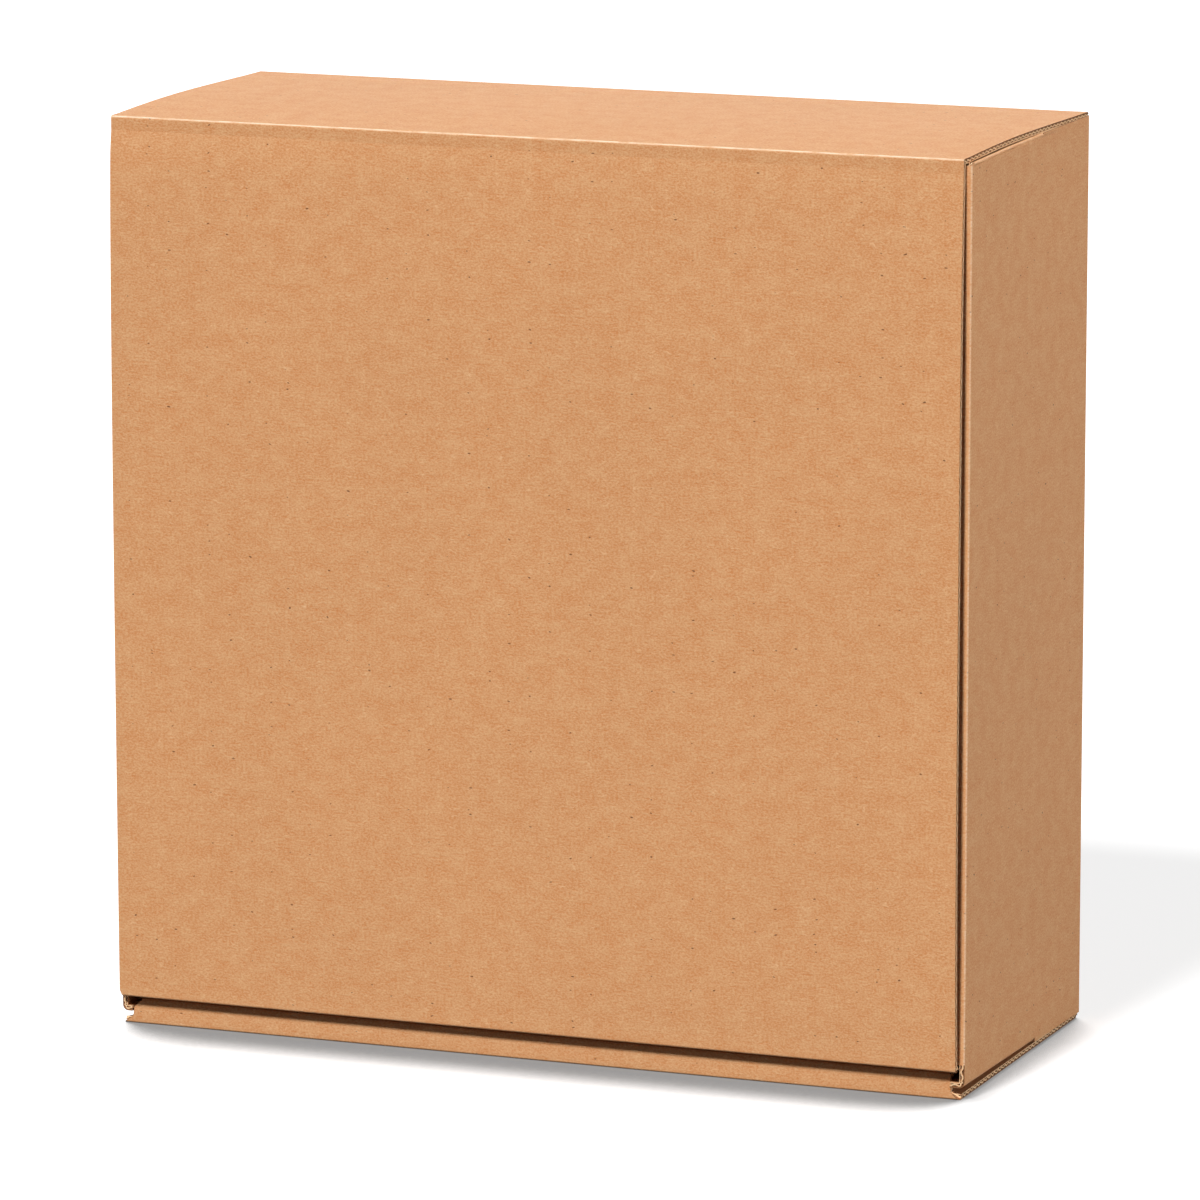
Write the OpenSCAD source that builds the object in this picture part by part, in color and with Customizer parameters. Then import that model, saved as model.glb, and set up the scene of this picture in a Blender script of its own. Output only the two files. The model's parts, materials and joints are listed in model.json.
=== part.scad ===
// Roll-over mailer box of fluted board, folded from one die-cut sheet and closed.
// It stands on its narrow rolled wall, so the lid is its large front face.
// The frame has X across the lid, Z up, and the lid facing -Y.

/* [Box] */
// Width over the outer faces of the two side walls
box_w = 252; // [200:1:320]
// Depth from the lid's fold line to the outer face of the back panel
box_d = 105; // [90:1:150]
// Height from the ground to the lid's fold line
box_h = 260; // [200:1:320]

/* [Board] */
// Thickness of the fluted board
board_t = 1.5; // [1.2:0.1:1.8]
// Outer radius of a fold
fold_r = 1.1; // [0.5:0.1:1.2]
// Clearance between plies that lie on each other
ply_clear = 0.3; // [0.2:0.05:0.4]
// Height of the outward bow of the closed lid
lid_bow = 2; // [0.5:0.1:3]
// Height of the upward bow of the top wall
top_bow = 0.8; // [0.3:0.1:1.5]
// Straight stretch of a bowed panel beside each of its folds
crease_flat = 4; // [2:0.5:8]

/* [Rolled side walls] */
// Space between the two plies of a side wall
side_gap = 3.5; // [3:0.1:5]
// Drop of a side wall's top fold below the top wall, at the front
side_drop = 0.4; // [0.3:0.1:1.6]
// Drop of the side strip's upper end below the top wall
strip_drop = 0.5; // [0.3:0.1:1.2]
// Length of a locking tab along the wall
side_tab_len = 28; // [15:1:40]
// Distance between the centres of a side wall's two locking tabs
side_tab_pitch = 120; // [80:1:140]

/* [Rolled bottom wall] */
// Space between the two plies of the bottom wall
bottom_gap = 4.8; // [3.5:0.1:6]
// Inset of the bottom wall's cut ends from the side walls' outer faces
bottom_inset = 1; // [0.5:0.1:2]
// Inset of the front strip's ends from the bottom wall's cut ends
strip_inset = 2.6; // [1.5:0.1:3]
// Height over which the front strip flares out to its lower fold
strip_flare = 2.2; // [1.5:0.1:3]
// Inset of the front fold's pointed ends from the bottom wall's cut ends
fold_point = 0.6; // [0.3:0.1:1.2]
// Bevel at the upper ends of the front strip
strip_bevel = 2; // [1:0.1:2.5]
// Length of a locking tab along the bottom wall
bottom_tab_len = 34; // [20:1:45]
// Distance between the centres of the bottom wall's two locking tabs
bottom_tab_pitch = 120; // [80:1:140]

/* [Corner flaps] */
// Width of a corner flap along its fold
flap_w = 60; // [40:1:70]
// Reach of a corner flap from the side wall's outer face
flap_reach = 62; // [30:1:80]
// Radius of a flap's free corners
flap_r = 10; // [3:0.5:15]
// Clearance between a lower corner flap's front end and the inner ply above it
flap_clear = 1.1; // [0.3:0.1:1.5]

/* [Lid] */
// Inset of the lid's cut edges from the side walls' outer faces
lid_inset = 1; // [0.5:0.1:2.5]
// Width of the small bevel at the lid's lower corners
lid_bevel_w = 0.8; // [0.4:0.1:2]
// Height of the small bevel at the lid's lower corners
lid_bevel_h = 1.8; // [0.8:0.1:3]
// Depth of the tuck flap
tuck_len = 35; // [20:1:45]
// Clearance between the tuck flap's fold and the rolled bottom wall
tuck_clear = 0.6; // [0.4:0.1:1]
// Clearance between the tuck flap and each side wall's inner ply
tuck_side = 0.8; // [0.5:0.1:2]
// Radius of the tuck flap's free corners
tuck_r = 12; // [4:0.5:18]
// Gap between the two mitred faces at the lid's fold line
hinge_gap = 0.1; // [0.05:0.01:0.2]

/* [Hidden] */
$fn = 48;

// Segments of a full circle that a bowed panel is cut from
BOW_FN = 1440;
// Reach of a cutting shape past the surface that it cuts
OVER = 0.5;
// Size of a cutting shape that passes through one board
cut_reach = 2 * (board_t + OVER);
// Length that carries an outline through the whole box
through = box_w + box_d + box_h;
// Bevel at the free corners of a locking tab, and its shortfall from the back panel's outer face
TAB_BEVEL = 1;
TAB_SHORT = 0.2;
// Inset of the top wall's cut edges from the side walls, where it meets the back panel
TOP_INSET = 0.4;

side_x = box_w / 2;
fold_y = (lid_bow - box_d) / 2;
back_y = (lid_bow + box_d) / 2;
roll_y = fold_y + board_t + ply_clear;
back_in_y = back_y - board_t;

side_roll = 2 * board_t + side_gap;
inner_x = side_x - side_roll;
bottom_roll = 2 * board_t + bottom_gap;
lid_low = bottom_roll + tuck_clear;

lid_half = side_x - lid_inset;
bottom_half = side_x - bottom_inset;
strip_half = bottom_half - strip_inset;
tuck_half = inner_x - tuck_side;

// Heights of the side walls' slanted ends, at the front and at the back
side_low_front = bottom_roll - 2 * board_t - flap_clear;
side_low_back = board_t + ply_clear;
side_top_front = box_h - board_t - side_drop;
side_top_back = box_h - board_t - ply_clear;
side_run = back_y - roll_y;
low_slant = atan((side_low_front - side_low_back) / side_run);
top_slant = atan((side_top_back - side_top_front) / side_run);

// The tuck flap rises by as much as its free edge needs to swing clear of the bottom wall
tuck_slope = atan(tuck_len / (2 * (box_h - lid_low)));

board_colour = "#d59d6e";
lid_colour = "#d9a273";

// Corner at the origin, between the X axis and a line at angle a, less its rounding
module round_cut(r, a = 90) {
    d1 = [cos(a), sin(a)];
    d2 = [1, 0];
    tangent = r / tan(a / 2);
    difference() {
        polygon([
            (d1 + d2) * r / sin(a), d2 * tangent, d2 * tangent - [0, OVER],
            -(d1 + d2) * OVER / sin(a), d1 * tangent - [sin(a), -cos(a)] * OVER, d1 * tangent
        ]);
        translate((d1 + d2) * r / sin(a))
            circle(r);
    }
}

// Side view of a panel of length len that bows up between two short straight ends
module bowed_panel(len, bow) {
    span = len - 2 * crease_flat;
    r = (span * span / 4 + bow * bow) / (2 * bow);
    difference() {
        union() {
            translate([0, -board_t])
                square([len, board_t]);
            intersection() {
                translate([len / 2, bow - r])
                    circle(r, $fn = BOW_FN);
                translate([0, -board_t / 2])
                    square([len, board_t / 2 + bow + OVER]);
            }
        }
        translate([len / 2, bow - r - board_t])
            circle(r, $fn = BOW_FN);
    }
}

// Shape drawn in side view, Y to the right and Z up, and carried across the width
module across(w) {
    rotate([90, 0, 90])
        linear_extrude(w, center = true)
            children();
}

// Outline drawn in front view, X to the right and Z up, and carried through the depth
module through_depth() {
    rotate([90, 0, 0])
        linear_extrude(through, center = true)
            children();
}

// Half plane on one side of the mitre at the lid's fold line
module mitre_half(side) {
    reach = cut_reach;
    g = hinge_gap / sqrt(2);
    polygon([[side * g - reach, reach], [side * g + reach, -reach], -side * [reach, reach]]);
}

// Both sides of the box get the same shape
module both_sides() {
    children();
    mirror([1, 0, 0])
        children();
}

// Tab that locks a rolled ply in the back panel, drawn from the ply's end outwards
module tab_outline(len) {
    reach = board_t + ply_clear - TAB_SHORT;
    polygon([
        [-len / 2, -OVER], [len / 2, -OVER], [len / 2, reach - TAB_BEVEL], [len / 2 - TAB_BEVEL, reach],
        [TAB_BEVEL - len / 2, reach], [-len / 2, reach - TAB_BEVEL]
    ]);
}

// Slot in the back panel that a tab of length len goes through
module slot(len) {
    cube([board_t + 2 * ply_clear, cut_reach, len + 2 * ply_clear], center = true);
}

// Largest panel, which lies at the back, with the slots for the rolled plies' tabs
module back_panel() {
    difference() {
        translate([-side_x, back_in_y, 0])
            cube([box_w, board_t, box_h]);
        both_sides()
            for (end = [-1, 1])
                translate([inner_x + board_t / 2, back_in_y, (box_h + end * side_tab_pitch) / 2])
                    slot(side_tab_len);
        both_sides()
            translate([bottom_tab_pitch / 2, back_in_y, bottom_roll - board_t / 2])
                rotate([0, 90, 0])
                    slot(bottom_tab_len);
    }
}

// Single top wall: it bows up and is cut narrower towards the lid
module top_wall() {
    back_half = side_x - TOP_INSET;
    intersection() {
        across(box_w)
            difference() {
                translate([fold_y, box_h])
                    bowed_panel(box_d, top_bow);
                translate([fold_y, box_h])
                    mitre_half(1);
                translate([fold_y, box_h])
                    mirror([0, 1])
                        round_cut(fold_r);
            }
        linear_extrude(through)
            polygon([[-lid_half, fold_y], [lid_half, fold_y], [back_half, back_y], [-back_half, back_y]]);
    }
}

// Double bottom wall: outer ply, front strip and inner ply, rolled over with open ends
module bottom_wall() {
    bevel_half = strip_half - strip_bevel;
    point_half = bottom_half - fold_point;
    ply_start = roll_y + board_t;
    ply_end = back_in_y - ply_clear;
    linear_extrude(board_t)
        polygon([
            [-point_half, ply_start], [point_half, ply_start], [bottom_half, ply_start + strip_flare],
            [bottom_half, back_y], [-bottom_half, back_y], [-bottom_half, ply_start + strip_flare]
        ]);
    intersection() {
        across(box_w)
            difference() {
                union() {
                    translate([roll_y, 0])
                        square([board_t, bottom_roll]);
                    translate([roll_y, bottom_roll - board_t])
                        square([ply_end - roll_y, board_t]);
                }
                translate([roll_y, 0])
                    round_cut(fold_r);
                translate([roll_y, bottom_roll])
                    mirror([0, 1])
                        round_cut(fold_r);
            }
        through_depth()
            polygon([
                [-point_half, 0], [point_half, 0], [strip_half, strip_flare],
                [strip_half, bottom_roll - strip_bevel], [bevel_half, bottom_roll],
                [-bevel_half, bottom_roll], [-strip_half, bottom_roll - strip_bevel], [-strip_half, strip_flare]
            ]);
    }
    both_sides()
        translate([bottom_tab_pitch / 2, ply_end, bottom_roll - board_t])
            linear_extrude(board_t)
                tab_outline(bottom_tab_len);
}

// Right side wall: outer ply with slanted ends, front strip, and inner ply with two tabs
module side_wall() {
    ply_end = back_in_y - ply_clear;
    strip_low = lid_low + board_t + ply_clear;
    strip_top = box_h - board_t - strip_drop;
    inner_low = bottom_roll + ply_clear;
    inner_top = side_top_front - board_t - ply_clear;
    difference() {
        union() {
            translate([side_x - board_t / 2, 0, 0])
                across(board_t)
                    polygon([
                        [roll_y, side_low_front], [back_y, side_low_back],
                        [back_y, side_top_back], [roll_y, side_top_front]
                    ]);
            translate([inner_x, roll_y, strip_low])
                cube([side_roll, board_t, strip_top - strip_low]);
            translate([inner_x, roll_y, inner_low])
                cube([board_t, ply_end - roll_y, inner_top - inner_low]);
        }
        translate([side_x, roll_y, strip_low])
            linear_extrude(through)
                mirror([1, 0])
                    round_cut(fold_r);
        translate([inner_x, roll_y, 0])
            linear_extrude(through)
                round_cut(fold_r);
    }
    for (end = [-1, 1])
        translate([inner_x + board_t / 2, ply_end, (box_h + end * side_tab_pitch) / 2])
            rotate([0, 90, 0])
                linear_extrude(board_t, center = true)
                    tab_outline(side_tab_len);
}

// Corner flap in its own frame: its fold runs along +Y from the origin, and it reaches to -X
module flap_plate(start) {
    linear_extrude(board_t)
        difference() {
            translate([-flap_reach, start])
                square([flap_reach, flap_w]);
            translate([-flap_reach, start])
                round_cut(flap_r);
            translate([-flap_reach, start + flap_w])
                mirror([0, 1])
                    round_cut(flap_r);
        }
}

// Rounding of a corner flap's fold, in the flap's own frame
module flap_fold_cut(start) {
    translate([0, start + flap_w, 0])
        rotate([90, 0, 0])
            linear_extrude(flap_w + start + OVER)
                mirror([1, 0])
                    round_cut(fold_r);
}

// Places for the flaps' frames: below, folded up into the roll, and above, folded under the top wall
module low_flap_place() {
    translate([side_x, roll_y, side_low_front])
        rotate([-low_slant, 0, 0])
            children();
}
module top_flap_place() {
    translate([side_x, roll_y, side_top_front])
        rotate([top_slant, 0, 0])
            mirror([0, 0, 1])
                children();
}

// Right side wall with its two corner flaps, all one sheet
module side_wall_with_flaps() {
    // The lower flap starts level with the wall's cut front edge and steps back behind the strip
    flap_start = board_t + ply_clear;
    nose = side_x - strip_half - ply_clear;
    difference() {
        union() {
            side_wall();
            low_flap_place() {
                flap_plate(flap_start);
                linear_extrude(board_t)
                    polygon([[0, 0], [0, flap_start + OVER], [-nose - OVER, flap_start + OVER], [-nose, flap_start]]);
            }
            top_flap_place()
                flap_plate(flap_start);
        }
        low_flap_place()
            flap_fold_cut(flap_start);
        top_flap_place()
            translate([0, flap_start, 0])
                flap_fold_cut(0);
    }
}

// Everything but the lid, folded from the one sheet
module tray() {
    color(board_colour)
        difference() {
            union() {
                back_panel();
                top_wall();
                bottom_wall();
                both_sides()
                    side_wall_with_flaps();
            }
            // Rounded folds round the back panel
            both_sides()
                translate([side_x, back_y, -OVER])
                    linear_extrude(box_h + 2 * OVER)
                        rotate(180)
                            round_cut(fold_r);
            across(box_w + 2 * OVER)
                translate([back_y, box_h])
                    rotate(180)
                        round_cut(fold_r);
            across(box_w + 2 * OVER)
                translate([back_y, 0])
                    mirror([1, 0])
                        round_cut(fold_r);
        }
}

// Tuck flap in side view, from the lid's lower fold line inwards
module tuck_profile() {
    translate([fold_y, lid_low])
        rotate(tuck_slope)
            square([tuck_len, board_t]);
}

// Lid panel in side view, with a mitred upper end at its fold line
module lid_profile() {
    difference() {
        translate([fold_y, lid_low])
            rotate(90)
                bowed_panel(box_h - lid_low, lid_bow);
        translate([fold_y, box_h])
            mitre_half(-1);
        translate([fold_y, box_h])
            mirror([0, 1])
                round_cut(fold_r);
        translate([fold_y, lid_low])
            rotate(tuck_slope)
                round_cut(fold_r, 90 - tuck_slope);
    }
}

// Lid with its tuck flap, which lies inside over the rolled bottom wall
module lid() {
    color(lid_colour) {
        intersection() {
            across(2 * lid_half)
                lid_profile();
            through_depth()
                polygon([
                    [-lid_half, lid_low + lid_bevel_h], [lid_bevel_w - lid_half, lid_low],
                    [lid_half - lid_bevel_w, lid_low], [lid_half, lid_low + lid_bevel_h],
                    [lid_half, box_h], [-lid_half, box_h]
                ]);
        }
        difference() {
            across(2 * tuck_half)
                difference() {
                    tuck_profile();
                    translate([fold_y, lid_low])
                        rotate(tuck_slope)
                            round_cut(fold_r, 90 - tuck_slope);
                }
            both_sides()
                translate([tuck_half, fold_y + tuck_len * cos(tuck_slope), 0])
                    linear_extrude(through)
                        rotate(180)
                            round_cut(tuck_r);
        }
    }
}

tray();
lid();
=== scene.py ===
"""Looks of a closed roll-over mailer box of fluted kraft board, in metres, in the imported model's frame."""
import json
import math

import bpy
import numpy as np
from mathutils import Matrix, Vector


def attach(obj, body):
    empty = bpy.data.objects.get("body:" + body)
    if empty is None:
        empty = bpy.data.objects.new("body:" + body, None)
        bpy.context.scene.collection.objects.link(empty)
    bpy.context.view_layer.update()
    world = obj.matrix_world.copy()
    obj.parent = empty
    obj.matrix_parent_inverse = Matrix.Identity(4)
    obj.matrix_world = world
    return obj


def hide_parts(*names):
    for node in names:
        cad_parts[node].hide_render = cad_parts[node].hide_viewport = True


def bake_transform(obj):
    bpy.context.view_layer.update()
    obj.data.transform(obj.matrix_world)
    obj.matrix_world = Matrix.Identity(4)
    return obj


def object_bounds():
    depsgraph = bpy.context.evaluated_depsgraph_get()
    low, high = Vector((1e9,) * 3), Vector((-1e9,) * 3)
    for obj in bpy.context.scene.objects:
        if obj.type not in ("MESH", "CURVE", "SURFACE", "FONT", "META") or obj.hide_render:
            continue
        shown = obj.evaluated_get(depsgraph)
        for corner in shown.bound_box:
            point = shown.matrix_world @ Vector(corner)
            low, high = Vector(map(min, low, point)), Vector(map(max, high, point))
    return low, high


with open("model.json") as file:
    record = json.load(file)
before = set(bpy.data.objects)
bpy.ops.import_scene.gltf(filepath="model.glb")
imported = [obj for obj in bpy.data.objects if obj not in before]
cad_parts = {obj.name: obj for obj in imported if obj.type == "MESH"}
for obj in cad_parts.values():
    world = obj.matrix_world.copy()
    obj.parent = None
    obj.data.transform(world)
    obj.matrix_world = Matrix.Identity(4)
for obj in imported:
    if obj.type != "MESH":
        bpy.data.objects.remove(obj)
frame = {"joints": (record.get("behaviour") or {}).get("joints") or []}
cad_low, cad_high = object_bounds()

# Camera
# A long lens from the front right and a little above, level from side to side.
view_azimuth = math.radians(21.04)
view_elevation = math.radians(10.92)
camera_place = (0.8125, -2.1119, 0.5587)
sensor_mm = 36
lens_mm = 245.46
far_limit = 20
camera_data = bpy.data.cameras.new("camera")
camera_data.sensor_width = sensor_mm
camera_data.lens = lens_mm
camera_data.clip_end = far_limit
camera = bpy.data.objects.new("camera", camera_data)
camera.location = camera_place
camera.rotation_euler = (math.pi / 2 - view_elevation, 0, view_azimuth)
bpy.context.scene.collection.objects.link(camera)
bpy.context.scene.camera = camera
bpy.context.scene.view_settings.view_transform = "Standard"

# Fluted board
# All of the box is one die-cut sheet: a fluted paper glued between two flat kraft papers.
# Its flutes run left to right across the sheet, so they show as waves at the cut ends.
board_t = 0.0015
liner_t = 0.00029
flute_pitch = 0.003
fold_r = 0.0007
inner_fold_r = 0.00015

# The fluted paper is drawn thicker than real fluting, because a sheared edge looks nearly closed
flute_paper_t = 0.00045

# Steps over the flutes and over flat paper, and the narrow row that keeps a fold's shading off the flat
flute_step = flute_pitch / 6
flat_step = 0.006
fold_steps, fluted_fold_steps = 8, 3
smooth_reach = 0.003
support = 0.0007
least_bend = 1e-4
weld_reach = 1e-6
sharp_from = math.radians(30)

# The paper's patterns, each as long along the flutes and as wide as on the real sheet
blotch_size = (0.0065, 0.005)
grain_size = (0.0007, 0.00052)
strand_size = (0.0026, 0.0004)
cloud_size = 0.05
crack_size = (0.006, 0.0008)
torn_fibre = 0.0007
relief_depth = 0.0002
noise_low, noise_high = 0.3, 0.7


def add(tree, kind, inputs=None, **settings):
    """Adds a node to a tree, sets its properties, and sets or links its inputs."""
    node = tree.nodes.new(kind)
    for name, value in settings.items():
        setattr(node, name, value)
    for key, value in (inputs or {}).items():
        if isinstance(value, bpy.types.NodeSocket):
            tree.links.new(value, node.inputs[key])
        else:
            node.inputs[key].default_value = value
    return node


def linear(hex_colour):
    """An sRGB hex colour as linear red, green, blue and alpha."""
    parts = [int(hex_colour[i:i + 2], 16) / 255 for i in (1, 3, 5)]
    return [c / 12.92 if c <= 0.04045 else ((c + 0.055) / 1.055) ** 2.4 for c in parts] + [1]


def spread(tree, value, low=noise_low, high=noise_high, to_low=0.0, to_high=1.0):
    """Maps a value from low..high to a range, and clamps it. Noise keeps mostly to the low and high given."""
    return add(tree, "ShaderNodeMapRange", {
        "Value": value, "From Min": low, "From Max": high, "To Min": to_low, "To Max": to_high,
    }).outputs["Result"]


def noise(tree, place, size, detail, roughness=0.5, distortion=0.0):
    """Noise over flat sheet places, with spots of one size in metres, or of a length and a width."""
    length, width = size if isinstance(size, tuple) else (size, size)
    scaled = add(tree, "ShaderNodeMapping", {
        "Vector": place, "Scale": (1 / length, 1 / width, 1),
    }).outputs["Vector"]
    return add(tree, "ShaderNodeTexNoise", {
        "Vector": scaled, "Scale": 1, "Detail": detail, "Roughness": roughness, "Distortion": distortion,
    }, noise_dimensions="2D").outputs["Fac"]


def flecks(tree, place, pitch, share, length, width, distortion):
    """Sparse short fibres of varied length, one to a cell at most: 1 on a fibre, 0 elsewhere."""
    bent = add(tree, "ShaderNodeTexNoise", {"Vector": place, "Scale": 1 / pitch}, noise_dimensions="2D")
    centred = add(tree, "ShaderNodeVectorMath", {
        0: bent.outputs["Color"], 1: (0.5, 0.5, 0.5),
    }, operation="SUBTRACT").outputs["Vector"]
    moved = add(tree, "ShaderNodeVectorMath", {
        0: centred, 1: (distortion, distortion, distortion), 2: place,
    }, operation="MULTIPLY_ADD").outputs["Vector"]
    squeezed = add(tree, "ShaderNodeMapping", {
        "Vector": moved, "Scale": (1 / pitch, length / width / pitch, 1),
    }).outputs["Vector"]
    cells = add(tree, "ShaderNodeTexVoronoi", {"Vector": squeezed, "Scale": 1}, voronoi_dimensions="2D")
    chance = add(tree, "ShaderNodeSeparateColor", {0: cells.outputs["Color"]}).outputs
    reach = spread(tree, chance[0], 1 - share, 1, 0, length / (2 * pitch))
    inside = add(tree, "ShaderNodeMath", {
        0: reach, 1: cells.outputs["Distance"],
    }, operation="SUBTRACT").outputs[0]
    return spread(tree, inside, 0, length / (8 * pitch))


def kraft_paper():
    """Uncoated kraft liner, brown pulp dried on a felt: matt, mottled, and flecked with fibres."""
    material = bpy.data.materials.new("kraft_liner")
    material.use_nodes = True
    tree = material.node_tree
    shader = tree.nodes["Principled BSDF"]
    sheet = add(tree, "ShaderNodeUVMap", uv_map="sheet").outputs["UV"]

    # Blotches of thicker and thinner pulp, the grain of the felt, and fibres, most of them along the flutes
    blotch = noise(tree, sheet, blotch_size, 2, 0.55)
    grain = noise(tree, sheet, grain_size, 2, 0.7)
    strand = noise(tree, sheet, strand_size, 2, 0.6, 1.2)
    body = 0.0
    for pattern, share in ((blotch, 0.17), (grain, 0.53), (strand, 0.3)):
        body = add(tree, "ShaderNodeMath", {
            0: spread(tree, pattern), 1: share, 2: body,
        }, operation="MULTIPLY_ADD").outputs[0]
    base = add(tree, "ShaderNodeMix", {
        0: body, 6: linear("#cb8048"), 7: linear("#e1b486"),
    }, data_type="RGBA")

    # The pulp is a little thicker in some places of the sheet than in others
    cloud = noise(tree, sheet, cloud_size, 1)
    broad = spread(tree, cloud, to_low=0.99, to_high=1.01)
    toned = add(tree, "ShaderNodeVectorMath", {
        0: base.outputs[2], "Scale": broad,
    }, operation="SCALE").outputs["Vector"]

    # Dark bark specks, and pale fibres that didn't take the dye
    dark = flecks(tree, sheet, pitch=0.006, share=0.22, length=0.0009, width=0.00045, distortion=0.002)
    dark_part = add(tree, "ShaderNodeMath", {0: dark, 1: 0.8}, operation="MULTIPLY").outputs[0]
    darkened = add(tree, "ShaderNodeMix", {
        0: dark_part, 6: toned, 7: linear("#5c3218"),
    }, data_type="RGBA")
    pale = flecks(tree, sheet, pitch=0.0045, share=0.45, length=0.0021, width=0.00032, distortion=0.004)
    pale_part = add(tree, "ShaderNodeMath", {0: pale, 1: 0.3}, operation="MULTIPLY").outputs[0]
    lightened = add(tree, "ShaderNodeMix", {
        0: pale_part, 6: darkened.outputs[2], 7: linear("#f0c89c"),
    }, data_type="RGBA")

    # The paper is stretched over a fold, which breaks its fibres and makes it paler there.
    # The same paler colour is a painted highlight for the light that the rounded fold catches.
    folded = add(tree, "ShaderNodeAttribute", attribute_name="folded").outputs["Fac"]
    cracks = noise(tree, sheet, crack_size, 3, 0.6)
    paled_and_highlit_mask = add(tree, "ShaderNodeMath", {
        0: spread(tree, cracks, 0.35, 0.6, 0.25, 1), 1: folded,
    }, operation="MULTIPLY").outputs[0]
    paled_and_highlit_paper = add(tree, "ShaderNodeMix", {
        0: paled_and_highlit_mask, 6: lightened.outputs[2], 7: linear("#f0dcc0"),
    }, data_type="RGBA")
    tree.links.new(paled_and_highlit_paper.outputs[2], shader.inputs["Base Color"])

    relief = add(tree, "ShaderNodeBump", {
        "Strength": 0.25, "Distance": relief_depth, "Height": body,
    }).outputs["Normal"]
    tree.links.new(relief, shader.inputs["Normal"])
    shader.inputs["Roughness"].default_value = 0.65
    shader.inputs["Specular IOR Level"].default_value = 0.15
    return material


def cut_paper(name, dark, light):
    """Sheared edge of kraft paper: the torn ends of fibres, which are rough and scatter the light."""
    material = bpy.data.materials.new(name)
    material.use_nodes = True
    tree = material.node_tree
    shader = tree.nodes["Principled BSDF"]
    place = add(tree, "ShaderNodeTexCoord").outputs["Object"]
    grain = add(tree, "ShaderNodeTexNoise", {
        "Vector": place, "Scale": 1 / torn_fibre, "Detail": 4,
    }).outputs["Fac"]
    colour = add(tree, "ShaderNodeMix", {
        0: spread(tree, grain), 6: linear(dark), 7: linear(light),
    }, data_type="RGBA")
    tree.links.new(colour.outputs[2], shader.inputs["Base Color"])
    shader.inputs["Roughness"].default_value = 0.9
    return material


face_paper = kraft_paper()
cut_edge = cut_paper("cut_kraft_edge", "#dba878", "#f4d2a6")

# The knife meets the outer paper first and crushes its edge, which turns away from the light: its cut edge is
# painted dark brown, a painted shade line
shaded_outer_edge = cut_paper("shade_painted_kraft_edge", "#6a4426", "#8c6038")


def paper_layer_tree():
    """Geometry Nodes: one paper of the board, flat or fluted, as a closed skin round the board's middle.
    The middle carries half, the way to the board's outer face, and across, the distance over the flutes."""
    tree = bpy.data.node_groups.new("paper_layer", "GeometryNodeTree")
    face = tree.interface
    face.new_socket("Geometry", in_out="INPUT", socket_type="NodeSocketGeometry")
    for name in ("Level", "Thickness", "Wave height", "Flute pitch", "Weld reach"):
        face.new_socket(name, in_out="INPUT", socket_type="NodeSocketFloat")
    for name in ("Face paper", "Cut edge"):
        face.new_socket(name, in_out="INPUT", socket_type="NodeSocketMaterial")
    face.new_socket("Geometry", in_out="OUTPUT", socket_type="NodeSocketGeometry")
    given = add(tree, "NodeGroupInput").outputs
    half = add(tree, "GeometryNodeInputNamedAttribute", {
        "Name": "half",
    }, data_type="FLOAT_VECTOR").outputs[0]
    across = add(tree, "GeometryNodeInputNamedAttribute", {
        "Name": "across",
    }, data_type="FLOAT").outputs[0]
    turns = add(tree, "ShaderNodeMath", {0: across, 1: given["Flute pitch"]}, operation="DIVIDE").outputs[0]
    angle = add(tree, "ShaderNodeMath", {0: turns, 1: 2 * math.pi}, operation="MULTIPLY").outputs[0]
    wave = add(tree, "ShaderNodeMath", {0: angle}, operation="SINE").outputs[0]
    level = add(tree, "ShaderNodeMath", {
        0: wave, 1: given["Wave height"], 2: given["Level"],
    }, operation="MULTIPLY_ADD").outputs[0]
    low = add(tree, "ShaderNodeMath", {
        0: given["Thickness"], 1: -0.5, 2: level,
    }, operation="MULTIPLY_ADD").outputs[0]
    down = add(tree, "ShaderNodeVectorMath", {0: half, "Scale": low}, operation="SCALE").outputs["Vector"]
    up = add(tree, "ShaderNodeVectorMath", {
        0: half, "Scale": given["Thickness"],
    }, operation="SCALE").outputs["Vector"]
    welded = add(tree, "GeometryNodeMergeByDistance", {
        "Geometry": given["Geometry"], "Distance": given["Weld reach"],
    }).outputs[0]
    under = add(tree, "GeometryNodeSetPosition", {"Geometry": welded, "Offset": down}).outputs[0]
    raised = add(tree, "GeometryNodeExtrudeMesh", {
        "Mesh": under, "Offset Scale": 0.0, "Individual": False,
    }, mode="FACES")
    top = add(tree, "GeometryNodeSetPosition", {
        "Geometry": raised.outputs["Mesh"], "Selection": raised.outputs["Top"], "Offset": up,
    }).outputs[0]
    papered = add(tree, "GeometryNodeSetMaterial", {
        "Geometry": top, "Material": given["Face paper"],
    }).outputs[0]
    edged = add(tree, "GeometryNodeSetMaterial", {
        "Geometry": papered, "Selection": raised.outputs["Side"], "Material": given["Cut edge"],
    }).outputs[0]
    turned = add(tree, "GeometryNodeFlipFaces", {"Mesh": under}).outputs[0]
    backed = add(tree, "GeometryNodeSetMaterial", {
        "Geometry": turned, "Material": given["Face paper"],
    }).outputs[0]
    both = add(tree, "GeometryNodeJoinGeometry")
    tree.links.new(edged, both.inputs[0])
    tree.links.new(backed, both.inputs[0])
    closed = add(tree, "GeometryNodeMergeByDistance", {
        "Geometry": both.outputs[0], "Distance": given["Weld reach"],
    }).outputs[0]
    real = add(tree, "GeometryNodeRealizeInstances", {"Geometry": closed}).outputs[0]
    add(tree, "NodeGroupOutput", {0: real})
    return tree


paper_layer = paper_layer_tree()


def sample_count(length, step):
    """The number of equal steps in a length, none of them longer than the step given."""
    return max(1, math.ceil(round(length / step, 6)))


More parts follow.
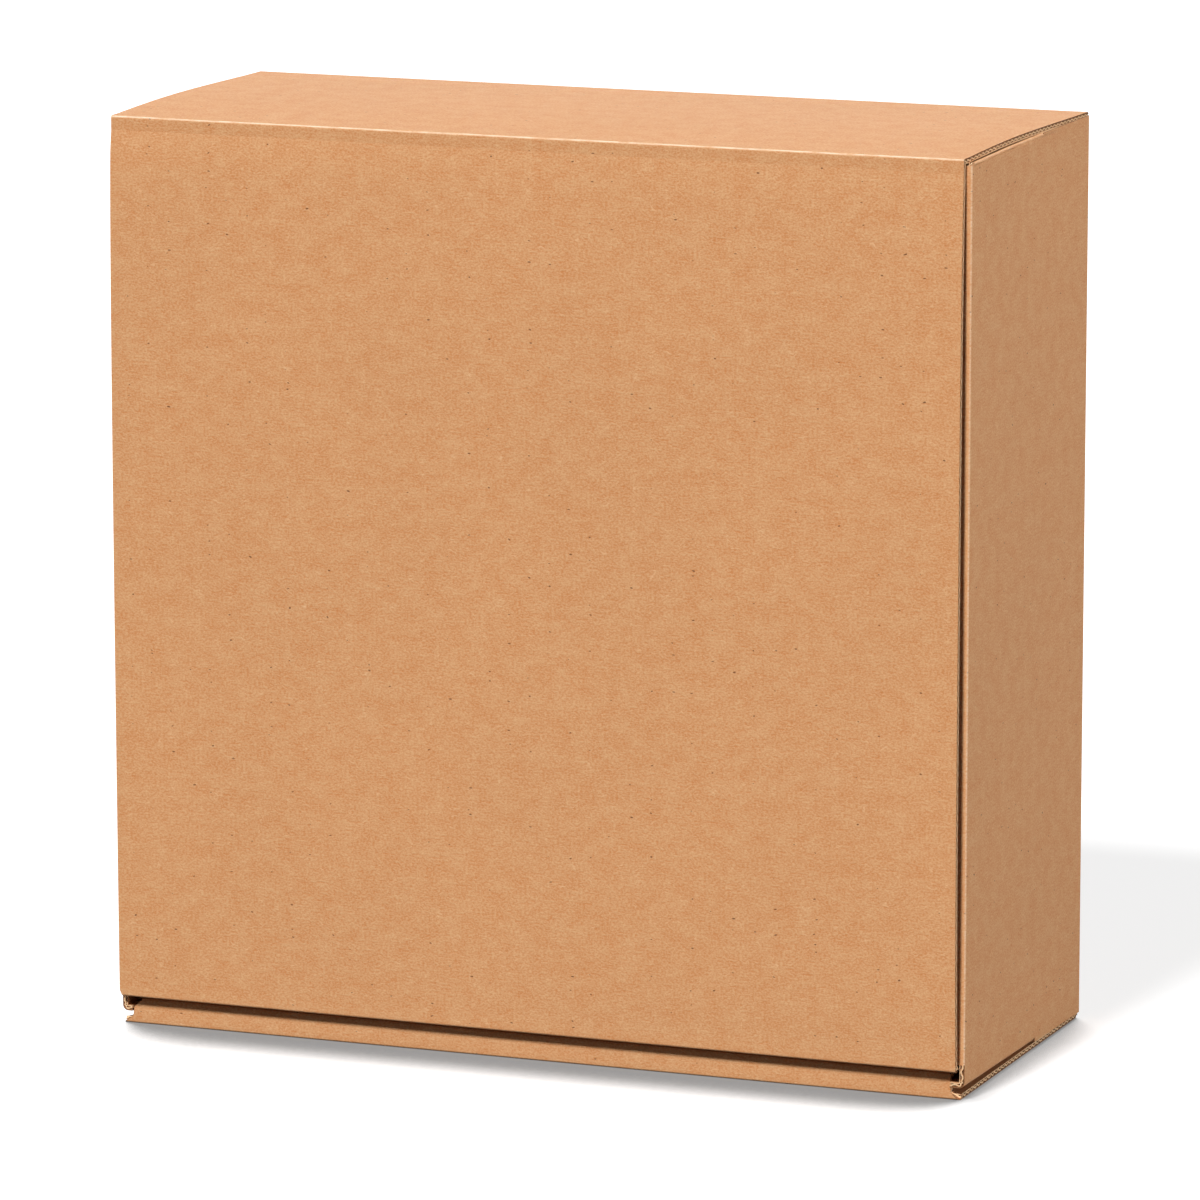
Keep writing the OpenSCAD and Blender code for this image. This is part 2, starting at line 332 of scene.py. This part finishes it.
def fold_profile(corners, radii, fluted, steps, rises=None, fold_paling_and_highlight=0.15):
    """Side view of a folded strip from the corners of its outer face, which lies to the right of the way.
    A corner without a bend only marks a place. Gives outer points, inner points, distance along the strip,
    and how much the paper is paled there by broken fibres, with a painted highlight over the bend."""
    corners = np.array(corners, float)
    ways = np.diff(corners, axis=0)
    lengths = np.linalg.norm(ways, axis=1)
    ways = ways / lengths[:, None]
    rights = np.stack([ways[:, 1], -ways[:, 0]], axis=1)
    count = len(lengths)
    steps = steps if isinstance(steps, list) else [steps] * count
    bends = [0.0] + [math.acos(float(np.clip(a @ b, -1, 1))) for a, b in zip(ways, ways[1:])] + [0.0]
    bends = [bend if bend > least_bend else 0.0 for bend in bends]
    inner_r = board_t + inner_fold_r
    outer_cut = [r * math.tan(bend / 2) for r, bend in zip(radii, bends)]
    inner_cut = [inner_r * math.tan(bend / 2) for bend in bends]
    outer, inner, distance, folded = [], [], [], []
    run = 0.0
    for i in range(count):
        bent, bent_next = bends[i] > 0, bends[i + 1] > 0
        span = lengths[i] - outer_cut[i] - outer_cut[i + 1]
        along = list(span * np.linspace(0, 1, sample_count(span, steps[i]) + 1))
        if span > 3 * support:
            along += [support] * bent + [span - support] * bent_next
        along = np.array(sorted(set(along)))
        reach = min(smooth_reach, span / 2 if bent and bent_next else span)
        near = np.clip(1 - along / reach, 0, 1)
        far = np.clip(1 - (span - along) / reach, 0, 1)
        place = along + outer_cut[i]
        place_in = place + (inner_cut[i] - outer_cut[i]) * near
        place_in = place_in - (inner_cut[i + 1] - outer_cut[i + 1]) * far
        rise = rises[i](along / span) if rises and rises[i] else 0 * along
        face = corners[i] + ways[i] * place[:, None] + rights[i] * rise[:, None]
        back = corners[i] + ways[i] * place_in[:, None] + rights[i] * (rise[:, None] - board_t)
        if bent:
            centre = corners[i] + ways[i] * outer_cut[i] - rights[i] * radii[i]
            pivot = corners[i] - (rights[i - 1] + rights[i]) * board_t / (1 + rights[i - 1] @ rights[i])
            arc_steps = fluted_fold_steps if fluted else fold_steps
            last_back = inner[-1]
            for turn in np.arange(1, arc_steps) / arc_steps:
                rest = 1 - turn
                mix = rights[i - 1] * math.sin(rest * bends[i]) + rights[i] * math.sin(turn * bends[i])
                outer.append(centre + radii[i] * mix / math.sin(bends[i]))
                inner.append(rest ** 2 * last_back + 2 * turn * rest * pivot + turn ** 2 * back[0])
                distance.append(run + radii[i] * bends[i] * turn)
                # Paler over the middle of a bend: broken fibres, and a painted highlight where the fold
                # catches light
                folded.append(fold_paling_and_highlight * math.sin(math.pi * turn) ** 3)
            run += radii[i] * bends[i]
        skip = 1 if i > 0 and not bent else 0
        outer.extend(face[skip:])
        inner.extend(back[skip:])
        distance.extend(run + along[skip:])
        folded.extend(0 * along[skip:])
        run += span
    return np.array(outer), np.array(inner), np.array(distance), np.array(folded)


def part_of(profile, keep):
    """The stretch of a profile whose points are to be kept."""
    return tuple(points[keep] for points in profile)


def strip(profile, ends, axes, shares, over_flutes, mirror=False, place=None, far_profile=None, keep=None):
    """A folded strip ruled between its two cut ends: middle points, half vectors, flat places and so on.
    axes names the profile's two directions and the direction from one end to the other, and shares is the
    number of steps from end to end, or their places from 0 to 1."""
    distance, folded = profile[2:]
    first, last = (np.broadcast_to(end, distance.shape)[:, None] for end in ends)
    share = np.linspace(0, 1, shares + 1) if isinstance(shares, int) else np.array(shares)
    level = first + (last - first) * share
    faces = []
    for near, far in zip(profile[:2], (far_profile or profile)[:2]):
        grid = np.zeros(level.shape + (3,))
        for k in (0, 1):
            grid[..., axes[k]] = near[:, k][:, None] * (1 - share) + far[:, k][:, None] * share
        grid[..., axes[2]] = level
        if place:
            grid = place(grid)
        faces.append(grid * np.array([-1 if mirror else 1, 1, 1]))
    run = np.broadcast_to(distance[:, None], level.shape)
    flat = np.stack([level, run] if over_flutes else [run, level], axis=-1)
    return {
        "middle": (faces[0] + faces[1]) / 2, "half": (faces[0] - faces[1]) / 2,
        "across": run if over_flutes else level, "flat": flat * np.array([-1 if mirror else 1, 1]),
        "folded": np.broadcast_to(folded[:, None], level.shape), "keep": keep,
    }


def surface(name, grids):
    """One mesh of the middle surfaces, with its attributes and each point's flat place on the sheet."""
    values = {key: [] for key in ("middle", "half", "across", "flat", "folded")}
    faces = []
    start = 0
    for grid in grids:
        middle, half = grid["middle"], grid["half"]
        rows, columns = middle.shape[:2]
        index = start + np.arange(rows * columns).reshape(rows, columns)
        start += rows * columns
        quads = np.stack([index[:-1, :-1], index[:-1, 1:], index[1:, 1:], index[1:, :-1]], axis=-1)
        quads = quads.reshape(-1, 4)
        normal = np.cross(middle[0, 1] - middle[0, 0], middle[1, 0] - middle[0, 0])
        if normal @ half[0, 0] < 0:
            quads = quads[:, ::-1]
        faces.append(quads if grid["keep"] is None else quads[grid["keep"].ravel()])
        for key, found in values.items():
            found.append(grid[key].reshape(rows * columns, -1))
    joined = {key: np.concatenate(found).astype(np.float32) for key, found in values.items()}
    mesh = bpy.data.meshes.new(name)
    mesh.from_pydata(joined["middle"].tolist(), [], np.concatenate(faces).tolist())
    mesh.attributes.new("half", "FLOAT_VECTOR", "POINT").data.foreach_set("vector", joined["half"].ravel())
    for key in ("across", "folded"):
        mesh.attributes.new(key, "FLOAT", "POINT").data.foreach_set("value", joined[key].ravel())
    corner_points = np.zeros(len(mesh.loops), int)
    mesh.loops.foreach_get("vertex_index", corner_points)
    sheet = mesh.uv_layers.new(name="sheet")
    sheet.uv.foreach_set("vector", joined["flat"][corner_points].ravel())
    return mesh


def layered(name, parts):
    """The board of one body: its two kraft papers and the fluted paper between them, in one object."""
    # Levels and thicknesses count in halves of the board, as half reaches from its middle to its face
    liner_share = 2 * liner_t / board_t
    flute_share = 2 * flute_paper_t / board_t
    crest = 1 - liner_share - flute_share / 2
    layers = (
        # The outer paper's cut edge carries the painted dark shade line
        ("outer_paper", False, 1 - liner_share / 2, liner_share, 0.0, shaded_outer_edge),
        ("inner_paper", False, liner_share / 2 - 1, liner_share, 0.0, cut_edge),
        ("fluted_paper", True, 0.0, flute_share, crest, cut_edge),
    )
    made = []
    for layer, fluted, level, thickness, wave_height, edge in layers:
        mesh = surface(f"{name}_{layer}", [grid for part in parts for grid in part(fluted)])
        piece = bpy.data.objects.new(f"{name}_{layer}", mesh)
        bpy.context.scene.collection.objects.link(piece)
        modifier = piece.modifiers.new("paper", "NODES")
        modifier.node_group = paper_layer
        values = {
            "Level": level, "Thickness": thickness, "Wave height": wave_height, "Flute pitch": flute_pitch,
            "Weld reach": weld_reach, "Face paper": face_paper, "Cut edge": edge,
        }
        for item in paper_layer.interface.items_tree:
            if item.in_out == "INPUT" and item.name in values:
                modifier[item.identifier] = values[item.name]
        made.append(piece)
    bpy.context.view_layer.update()
    depsgraph = bpy.context.evaluated_depsgraph_get()
    meshes = [bpy.data.meshes.new_from_object(piece.evaluated_get(depsgraph)) for piece in made]
    for piece, finished in zip(made, meshes):
        piece.modifiers.clear()
        piece.data = finished
    with bpy.context.temp_override(active_object=made[0], selected_editable_objects=made):
        bpy.ops.object.join()
    board = made[0]
    board.name = name
    for polygon in board.data.polygons:
        polygon.use_smooth = True
    board.data.set_sharp_from_angle(angle=sharp_from)
    return board


# Tray: bottom wall, back panel and top wall
# One row of panels of the sheet, folded up from the back panel. The top wall bows up a little, and the
# bottom wall rolls over at the front and runs back inside, where its two tabs lock in the back panel.
fold_y, top_z = frame["joints"][0]["pos_m"][1:]
side_x, back_y = cad_high[:2]
play = 0.0003
tiny = 1e-6

# Places in the depth: the rolled walls' fronts, the bottom wall's strip, and the ends of the inner plies
roll_y = fold_y + board_t + play
strip_inset = 0.0008
strip_y = roll_y + strip_inset
ply_end = back_y - board_t - play
tab_shortfall = 0.0002
tab_end = back_y - tab_shortfall
hinge_reach = 0.004

# Half widths, and how far the lid and the bottom wall stand beside the box's middle
lid_half = 0.125
top_back_half = 0.1256
bottom_half = 0.125
back_half = side_x - fold_r
lid_shift = -0.0008
bottom_shift = -0.00067

# The bottom wall's strip: its left end is bevelled and notched behind its fold, its right end cut square
strip_half = 0.1224
strip_flare = 0.0022
strip_bevel_w, strip_bevel_h = 0.0026, 0.003
end_trim = 0.0003
left_point, right_point = 0.0003, -0.0006
left_notch, notch_depth = 0.0019, 0.005

# The bows, and the heights where parts of the side walls end, which the back panel's rows share
top_bow = 0.00078
bow_lean = 1.3
low_back = 0.0018
top_back = 0.259
strip_low = 0.0102
band_z = 0.2535

# The rolled walls' outer widths, their locking tabs, and the slots that take these
bottom_roll = 0.0074
bottom_tab_len = 0.034
bottom_tab_pitch = 0.12
side_roll = 0.0065
inner_x = side_x - side_roll
side_tab_len = 0.028
side_tab_pitch = 0.12
tab_bevel = 0.001
bottom_slot_x = [(bottom_tab_pitch + end * bottom_tab_len) / 2 + end * play for end in (-1, 1)]
side_slot_x = [inner_x - play, inner_x + board_t + play]
bottom_slot_z = [bottom_roll - board_t - play, bottom_roll + play]
side_slot_z = [
    [(top_z + side * side_tab_pitch + end * side_tab_len) / 2 + end * play for end in (-1, 1)]
    for side in (-1, 1)
]


def top_rise(share):
    """Bow of the top wall from its back to its front fold, highest a little in front of the middle."""
    return top_bow * np.sin(math.pi * share ** bow_lean)


def locking_tab(fluted, axes, start, centre, length, over_flutes, mirror=False):
    """Tab at the end of a rolled ply, with its two free corners cut off."""
    tab = fold_profile([(tab_end, start), (ply_end, start)], [0, 0], fluted, tab_bevel)
    if axes[0] == 0:
        tab = fold_profile([(start, tab_end), (start, ply_end)], [0, 0], fluted, tab_bevel)
    half = np.interp(tab[2], [0, tab_bevel], [length / 2 - tab_bevel, length / 2])
    steps = sample_count(length, flute_step) if fluted and not over_flutes else 1
    return strip(tab, (centre - half, centre + half), axes, steps, over_flutes, mirror)


def panel_row(fluted):
    """Bottom wall's inner ply, its front strip, its outer ply, the back panel and the top wall."""
    step = flute_step if fluted else flat_step
    heights = [low_back, *bottom_slot_z, strip_low, *side_slot_z[0], *side_slot_z[1], band_z, top_back,
               top_back + play]
    corners = [(ply_end, bottom_roll), (strip_y, bottom_roll), (strip_y, bottom_roll - strip_bevel_h),
               (strip_y, strip_flare), (strip_y, 0), (back_y, 0), *((back_y, z) for z in heights),
               (back_y, top_z), (fold_y + hinge_reach, top_z)]
    radii = [0, fold_r, 0, 0, fold_r, fold_r] + [0] * len(heights) + [fold_r, 0]
    rises = [None] * (len(corners) - 2) + [top_rise]
    profile = fold_profile(corners, radii, fluted, step, rises)
    (y, z), run = profile[0].T, profile[2]
    on_inner_ply = run < np.min(run[z < bottom_roll - fold_r])
    on_strip = ~on_inner_ply & (y < strip_y + fold_r) & (z < bottom_roll)
    on_back = y > back_y - tiny
    on_top = ~on_back & (z > top_z - fold_r)
    half = np.full(len(run), bottom_half)
    half[on_back] = np.where(z[on_back] > top_back + tiny, top_back_half, back_half)
    half[on_top] = np.interp(y[on_top], [fold_y, back_y], [lid_half, top_back_half])
    left_half, right_half = half.copy(), half.copy()
    behind_fold = ~on_strip & (y < strip_y + notch_depth) & (z < board_t)
    left_half[behind_fold] = np.interp(
        y[behind_fold], [strip_y, strip_y + notch_depth], [bottom_half - left_notch, bottom_half])
    strip_marks = [0, strip_flare, bottom_roll - strip_bevel_h, bottom_roll]
    ends = ((left_half, strip_bevel_w, left_point), (right_half, end_trim, right_point))
    for end_half, bevel, point in ends:
        end_half[on_inner_ply] = strip_half - bevel
        end_half[on_strip] = np.interp(
            z[on_strip], strip_marks, [bottom_half + point, strip_half, strip_half, strip_half - bevel])
    shift = np.interp(y, [fold_y, back_y - fold_r], [bottom_shift, 0])
    shift[on_top] = np.interp(y[on_top], [fold_y, back_y], [lid_shift, 0])
    shift[on_back] = 0

    # Slots for the locking tabs: the rows off the back panel get a height below it, so that none is cut there
    slot_lines = [*bottom_slot_x, *side_slot_x]
    lines = np.array([-back_half, *(-x for x in reversed(slot_lines)), 0, *slot_lines, back_half])
    column_x = np.abs(lines[:-1] + lines[1:]) / 2
    row_z = np.where(on_back[:-1] & on_back[1:], z[:-1] + z[1:], -1) / 2
    keep = np.ones((len(row_z), len(column_x)), bool)
    slots = [(bottom_slot_x, bottom_slot_z), (side_slot_x, side_slot_z[0]), (side_slot_x, side_slot_z[1])]
    for (left_x, right_x), (low_z, high_z) in slots:
        in_rows = (row_z > low_z) & (row_z < high_z)
        in_columns = (column_x > left_x) & (column_x < right_x)
        keep &= ~np.outer(in_rows, in_columns)
    shares = (lines / back_half + 1) / 2
    grids = [strip(profile, (shift - left_half, shift + right_half), (1, 2, 0), shares, True, keep=keep)]
    for side in (-1, 1):
        centre = side * bottom_tab_pitch / 2
        grids.append(locking_tab(fluted, (1, 2, 0), bottom_roll, centre, bottom_tab_len, True))
    return grids


# Tray: side walls
# Each is one panel that rolls over at the front: an outer ply with slanted ends, a narrow front strip,
# and an inner ply that runs back inside and locks in the back panel by two tabs.
inner_low, inner_top = 0.0081, 0.2563
strip_top = 0.258
low_front, top_front = 0.0037, 0.2587
side_bow = 0.0004
low_flap_r = board_t + inner_fold_r
side_step, fluted_side_step = 0.03, 0.11
flap_w = 0.06
flap_y = roll_y + board_t + play
flap_end_y = flap_y + flap_w


def end_height(upper, y):
    """Height of a side wall's end at a depth: slanted, and the upper one bowed with the top wall."""
    share = np.clip((back_y - y) / (back_y - roll_y), 0, 1)
    if upper:
        return top_back + (top_front - top_back) * share + side_bow * np.sin(math.pi * share ** bow_lean)
    return low_back + (low_front - low_back) * share


def side_walls(fluted):
    """Both side walls. The rolled field reaches from the strip's lower end to near its top, and narrower
    bands carry the outer ply, the strip and the inner ply on to their own ends."""
    step = flute_step if fluted else flat_step
    ply_step = fluted_side_step if fluted else side_step
    lap = (side_x - board_t - inner_fold_r, back_y)
    outer_ply = [(side_x, flap_y), (side_x, flap_end_y), (side_x, back_y), lap]
    rolled = fold_profile([(inner_x, ply_end), (inner_x, roll_y), (side_x, roll_y), *outer_ply],
                          [0, fold_r, fold_r, 0, 0, fold_r, 0], fluted, ply_step, fold_paling_and_highlight=0.5)
    x, y = rolled[0].T
    run = rolled[2]
    inner_end = np.max(run[(x < inner_x + tiny) & (y > roll_y + fold_r - tiny)])
    arc = fold_r * math.pi / 2
    strip_end = inner_end + arc + side_roll - 2 * fold_r
    turn_runs = [inner_end, inner_end + arc, strip_end, strip_end + arc, run[-1]]
    flap_start, flap_stop = (
        np.min(run[(x > side_x - tiny) & (y > place - tiny)]) for place in (flap_y, flap_end_y))
    flat_end = fold_profile([(side_x, roll_y), *outer_ply], [0, 0, 0, fold_r, 0], fluted, ply_step)
    flat_end = flat_end[:2] + (flat_end[2] + run[-1] - flat_end[2][-1], flat_end[3])
    grids = []

    def ply(profile, low, high, mirror, fold=None):
        """A stretch of the wall between two heights, with a narrow row beside a fold at its end 0 or 1."""
        height = np.max(high - low)
        shares = np.linspace(0, 1, sample_count(height, step) + 1)
        if fold is not None:
            shares = np.sort(np.append(shares, abs(fold - support / height)))
        grids.append(strip(profile, (low, high), (0, 1, 2), shares, False, mirror))

    for mirror in (False, True):
        on_inner = run <= inner_end
        on_turn = (run >= inner_end) & (run <= flap_start)
        on_rest = run >= flap_start
        ply(rolled, strip_low, band_z, mirror)
        ply(part_of(rolled, on_inner), inner_low, strip_low, mirror)
        ply(part_of(rolled, on_inner), band_z, inner_top, mirror)
        turn_tops = [inner_top, strip_top, strip_top, top_front, top_front]
        turn_top = np.interp(run[on_turn], turn_runs, turn_tops)
        ply(part_of(rolled, on_turn), band_z, turn_top, mirror)
        ply(flat_end, end_height(False, flat_end[0][:, 1]) + low_flap_r, strip_low, mirror, fold=0)
        top_end = end_height(True, y)
        ply(part_of(rolled, on_rest), band_z, top_end[on_rest] - fold_r, mirror, fold=1)
        behind = run >= flap_stop
        low_end = end_height(False, y)[behind]
        ply(part_of(rolled, behind), low_end, low_end + low_flap_r, mirror)
        ply(part_of(rolled, behind), top_end[behind] - fold_r, top_end[behind], mirror)
        for side in (-1, 1):
            centre = (top_z + side * side_tab_pitch) / 2
            grids.append(locking_tab(fluted, (0, 1, 2), inner_x, centre, side_tab_len, False, mirror))
    return grids


# Tray: corner flaps
# Four flaps fold off the side walls' ends: the lower two into the open ends of the rolled bottom wall,
# the upper two under the top wall.
flap_reach = 0.062
flap_r = 0.01
flap_dip, dip_width = 0.0009, 0.0018
round_step = 0.002


def corner_flaps(fluted):
    """The four corner flaps, each from its crease on a side wall to its free end with round corners."""
    step = flute_step if fluted else round_step
    grids = []
    for upper, mirror in ((False, False), (False, True), (True, False), (True, True)):
        turn, crease_r, fold_paling_and_highlight = (-1, fold_r, 0.3) if upper else (1, low_flap_r, 0.1)
        nose_x = strip_half + (-bottom_shift if mirror else bottom_shift)

        def place(grid):
            """Lays the flap on its wall's slanted end, and dips the upper ones under the top wall."""
            slanted = grid.copy()
            slanted[..., 2] = end_height(upper, grid[..., 1]) + turn * grid[..., 2]
            if upper:
                slanted[..., 2] -= flap_dip * np.clip((side_x - fold_r - grid[..., 0]) / dip_width, 0, 1)
            return slanted

        mark_x = side_x - fold_r - dip_width if upper else nose_x
        profile = fold_profile([(side_x - flap_reach, 0), (mark_x, 0), (side_x, 0), (side_x, 2 * crease_r)],
                               [0, 0, crease_r, 0], fluted, step, fold_paling_and_highlight=fold_paling_and_highlight)
        profile = part_of(profile, profile[0][:, 1] < crease_r + tiny)
        near_end = np.clip(1 - profile[2] / flap_r, 0, 1)
        cut = flap_r - flap_r * np.sqrt(1 - near_end ** 2)
        grids.append(strip(profile, (flap_y + cut, flap_end_y - cut), (0, 2, 1), 2, True, mirror, place))
        if not upper:
            nose = part_of(profile, profile[0][:, 0] >= nose_x - tiny)
            grids.append(strip(nose, (roll_y, flap_y), (0, 2, 1), 1, True, mirror, place))
    return grids


tray_board = layered("tray_board", [panel_row, side_walls, corner_flaps])
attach(tray_board, "tray")
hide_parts("tray")

# Lid and its tuck flap
# The large front panel bows outwards between its folds, more at the top on its left edge.
# Its tuck flap folds in at the bottom and slants up inside, over the rolled bottom wall.
lid_low = 0.0084
lid_bevel_w, lid_bevel_h = 0.0008, 0.0018
lid_bow = 0.0014
lid_lift = 0.0008
tuck_half = 0.1187
tuck_len = 0.035
tuck_r = 0.012
tuck_slope = math.atan(tuck_len / (2 * (top_z - lid_low)))


def left_rise(share):
    """Bow of the lid's left edge from the crease down, fullest near the top."""
    return lid_bow * np.sin(math.pi * np.sqrt(share)) ** 0.8


def right_rise(share):
    """Bow of the lid's right edge from the crease down, even and full."""
    return lid_bow * (1 - (2 * share - 1) ** 4)


def lid_row(fluted):
    """Lid from its crease down, folded in at the tuck flap."""
    step, end_step = (flute_step, flute_step) if fluted else (flat_step, round_step)
    tuck_way = np.array([math.cos(tuck_slope), math.sin(tuck_slope)])
    corner = np.array([fold_y - lid_lift, lid_low])
    lid_drop = top_z - hinge_reach - lid_low
    bevel_y = fold_y - lid_lift * (lid_drop - lid_bevel_h) / lid_drop
    corners = [(fold_y, top_z - hinge_reach), (bevel_y, lid_low + lid_bevel_h), corner,
               corner + tuck_way * (tuck_len - tuck_r), corner + tuck_way * tuck_len]
    radii = [0, 0, fold_r, 0, 0]
    steps = [step, step, step, end_step]
    left, right = (
        fold_profile(corners, radii, fluted, steps, [rise] + [None] * 3) for rise in (left_rise, right_rise))
    run = left[2]
    z = left[0][:, 1]
    to_end = run[-1] - run
    left_half = lid_half - lid_bevel_w * np.clip(1 - (z - lid_low) / lid_bevel_h, 0, 1)
    right_half = np.full(len(run), lid_half)
    near_end = np.clip(1 - to_end / tuck_r, 0, 1)
    on_tuck = to_end < tuck_len - 2 * board_t
    for end_half in (left_half, right_half):
        end_half[on_tuck] = (tuck_half - tuck_r + tuck_r * np.sqrt(1 - near_end ** 2))[on_tuck]
    ends = (lid_shift - left_half, lid_shift + right_half)
    return [strip(left, ends, (1, 2, 0), 2, True, far_profile=right)]


lid_board = layered("lid_board", [lid_row])
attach(lid_board, "lid")
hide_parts("lid")

# Crease between the top wall and the lid
# The same board bent round its scored line.
crease_step = 0.0005


def crease_row(fluted):
    """The bent board between the top wall's front end and the lid's upper end."""
    corners = [(fold_y + hinge_reach, top_z), (fold_y, top_z), (fold_y, top_z - hinge_reach)]
    # The crease between top wall and lid is paled most: broken fibres, and a painted highlight along it
    profile = fold_profile(corners, [0, fold_r, 0], fluted, crease_step, fold_paling_and_highlight=1)
    return [strip(profile, (lid_shift - lid_half, lid_shift + lid_half), (1, 2, 0), 2, True)]


lid_crease = layered("lid_crease", [crease_row])
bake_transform(lid_crease)

# Floor and backdrop
# A plain white sweep of matt paint far wider than the view, which keeps the box's soft shadow. A glow makes
# it white to the camera alone, and the light that it throws back on the box is that of a dark grey floor.
floor_half = 6
glow = 0.8
painted_share = 0.5
bounce_grey = "#525252"

# The painted contact shade, from Ambient Occlusion, looks back, up and a little to the left, so it darkens
# the floor's colour and glow close before the box
shade_lean = {"X": -0.2, "Y": 0.7, "Z": 0.65}
shade_reach = 0.035
shade_low, shade_high = 0.4, 0.71
shade_grey = "#7e7e7e"


def camera_part(tree, value):
    """A value that only camera, glossy and transmission rays see, so that white doesn't light the box."""
    rays = add(tree, "ShaderNodeLightPath").outputs
    seen = rays["Is Camera Ray"]
    for kind in ("Is Glossy Ray", "Is Transmission Ray"):
        seen = add(tree, "ShaderNodeMath", {0: seen, 1: rays[kind]}, operation="MAXIMUM").outputs[0]
    return add(tree, "ShaderNodeMath", {0: seen, 1: value}, operation="MULTIPLY").outputs[0]


floor_mesh = bpy.data.meshes.new("floor")
floor_mesh.from_pydata([
    (-floor_half, -floor_half, 0), (floor_half, -floor_half, 0),
    (floor_half, floor_half, 0), (-floor_half, floor_half, 0),
], [], [(0, 1, 2, 3)])
floor = bpy.data.objects.new("floor", floor_mesh)
bpy.context.scene.collection.objects.link(floor)
floor_paint = bpy.data.materials.new("white_sweep")
floor_paint.use_nodes = True
floor_tree = floor_paint.node_tree
floor_shader = floor_tree.nodes["Principled BSDF"]
leaned = add(floor_tree, "ShaderNodeCombineXYZ", shade_lean).outputs["Vector"]
open_floor = add(floor_tree, "ShaderNodeAmbientOcclusion", {
    "Distance": shade_reach, "Normal": leaned,
}, samples=16).outputs["AO"]
# Painted contact shade: the floor's paint and glow turn grey where the box stands close
painted_contact_shade = add(floor_tree, "ShaderNodeMix", {
    0: spread(floor_tree, open_floor, shade_low, shade_high), 6: linear(shade_grey), 7: linear("#ffffff"),
}, data_type="RGBA").outputs[2]
floor_colour = add(floor_tree, "ShaderNodeMix", {
    0: camera_part(floor_tree, painted_share), 6: linear(bounce_grey), 7: painted_contact_shade,
}, data_type="RGBA").outputs[2]
floor_tree.links.new(floor_colour, floor_shader.inputs["Base Color"])
floor_shader.inputs["Roughness"].default_value = 1
floor_shader.inputs["Specular IOR Level"].default_value = 0
floor_tree.links.new(painted_contact_shade, floor_shader.inputs["Emission Color"])
floor_tree.links.new(camera_part(floor_tree, glow), floor_shader.inputs["Emission Strength"])
floor_mesh.materials.append(floor_paint)

# The world is white to the camera too, and lights the box only faintly
world_light = 0.04
world = bpy.data.worlds.new("studio")
bpy.context.scene.world = world
world.use_nodes = True
world_tree = world.node_tree
world_level = add(world_tree, "ShaderNodeMath", {
    0: camera_part(world_tree, 1 - world_light), 1: world_light,
}).outputs[0]
world_tree.links.new(world_level, world_tree.nodes["Background"].inputs["Strength"])
world_tree.nodes["Background"].inputs["Color"].default_value = (1, 1, 1, 1)

# Studio light
# A firm key high at the front left, a wide fill at the right, and a faint lamp behind that glances off
# the top. Each has the direction that it shines from, its width in degrees, and its level, where 1 shows
# a colour as it is written.
for name, toward, lamp_spread, level in (
    ("key", (-0.16, -1, 1.08), 10, 1.28),
    ("fill", (1, 0.05, 0.06), 24, 0.77),
    ("back", (-0.35, 0.92, 0.2), 24, 0.1),
):
    lamp_data = bpy.data.lights.new(name, "SUN")
    lamp_data.angle = math.radians(lamp_spread)
    lamp_data.energy = level * math.pi
    lamp = bpy.data.objects.new(name, lamp_data)
    lamp.location = toward
    lamp.rotation_euler = Vector(toward).to_track_quat("Z", "Y").to_euler()
    bpy.context.scene.collection.objects.link(lamp)
